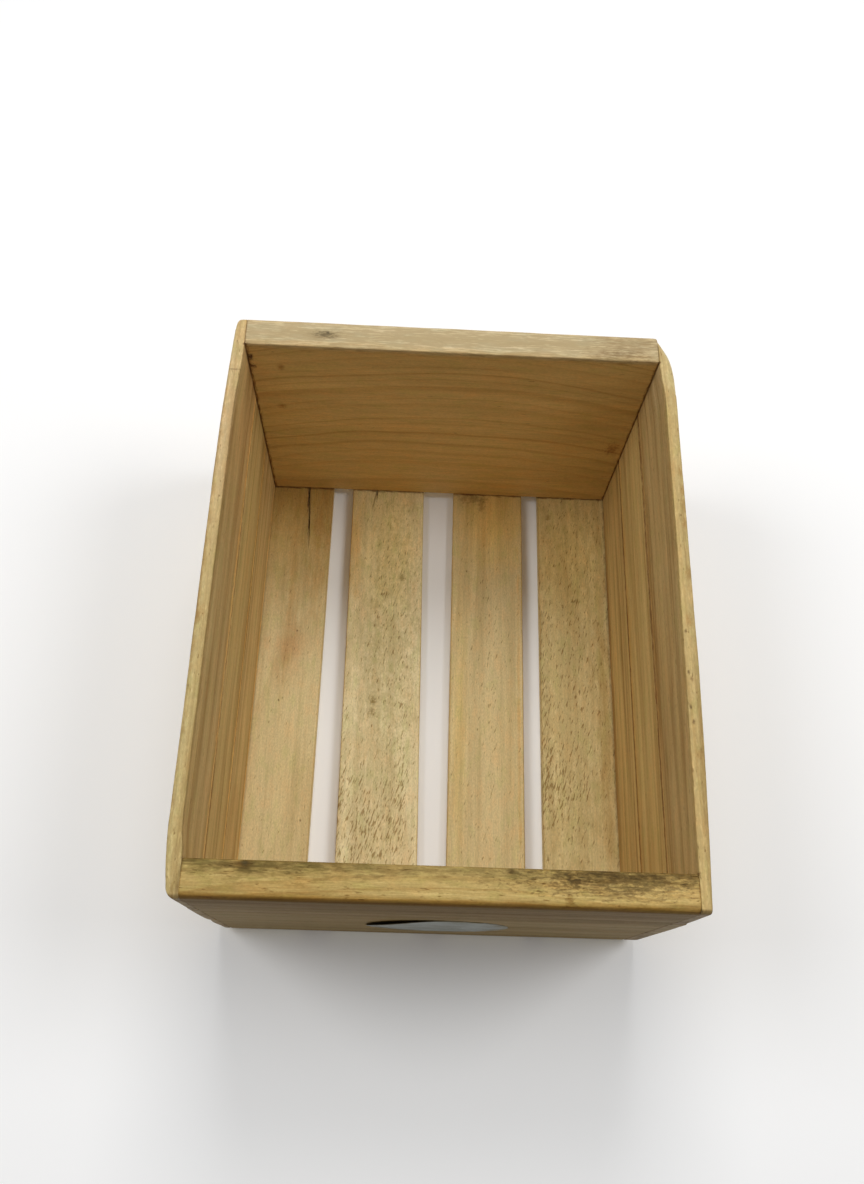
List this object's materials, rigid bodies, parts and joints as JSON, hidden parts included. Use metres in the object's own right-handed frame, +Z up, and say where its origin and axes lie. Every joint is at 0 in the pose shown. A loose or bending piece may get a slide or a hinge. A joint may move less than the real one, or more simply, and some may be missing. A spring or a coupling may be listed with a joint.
{
  "type": "wooden fruit crate",
  "caption": "Open-topped wooden apple crate with thick end boards, slatted sides and a gapped board floor, nailed together, for carrying and storing fruit",
  "frame": {"origin": "On the ground, below the middle of the crate", "axes": "+X across the crate to the right of someone facing the labelled front board from outside, +Y along the crate from the front board to the back board, +Z up out of the open top"},
  "size_m": [0.3, 0.3806, 0.206],
  "materials": {
    "end_wood": "sanded pine, unvarnished, worn along the rim",
    "slat_wood": "sanded pine, unvarnished",
    "floor_wood": "planed pine with torn grain, unvarnished",
    "nail_steel": "dull bright steel with light rust",
    "label_paper": "matt, blank, slightly soiled"
  },
  "bodies": {
    "root": {"front_end_board": "end_wood", "back_end_board": "end_wood", "left_top_slat": "slat_wood", "left_middle_slat": "slat_wood", "left_bottom_slat": "slat_wood", "right_top_slat": "slat_wood", "right_middle_slat": "slat_wood", "right_bottom_slat": "slat_wood", "floor_board_1": "floor_wood", "floor_board_2": "floor_wood", "floor_board_3": "floor_wood", "floor_board_4": "floor_wood", "left_top_slat_nails": "nail_steel", "left_middle_slat_nails": "nail_steel", "left_bottom_slat_nails": "nail_steel", "right_top_slat_nails": "nail_steel", "right_middle_slat_nails": "nail_steel", "right_bottom_slat_nails": "nail_steel", "floor_board_1_nails": "nail_steel", "floor_board_2_nails": "nail_steel", "floor_board_3_nails": "nail_steel", "floor_board_4_nails": "nail_steel", "label": "label_paper"}
  },
  "joints": []
}
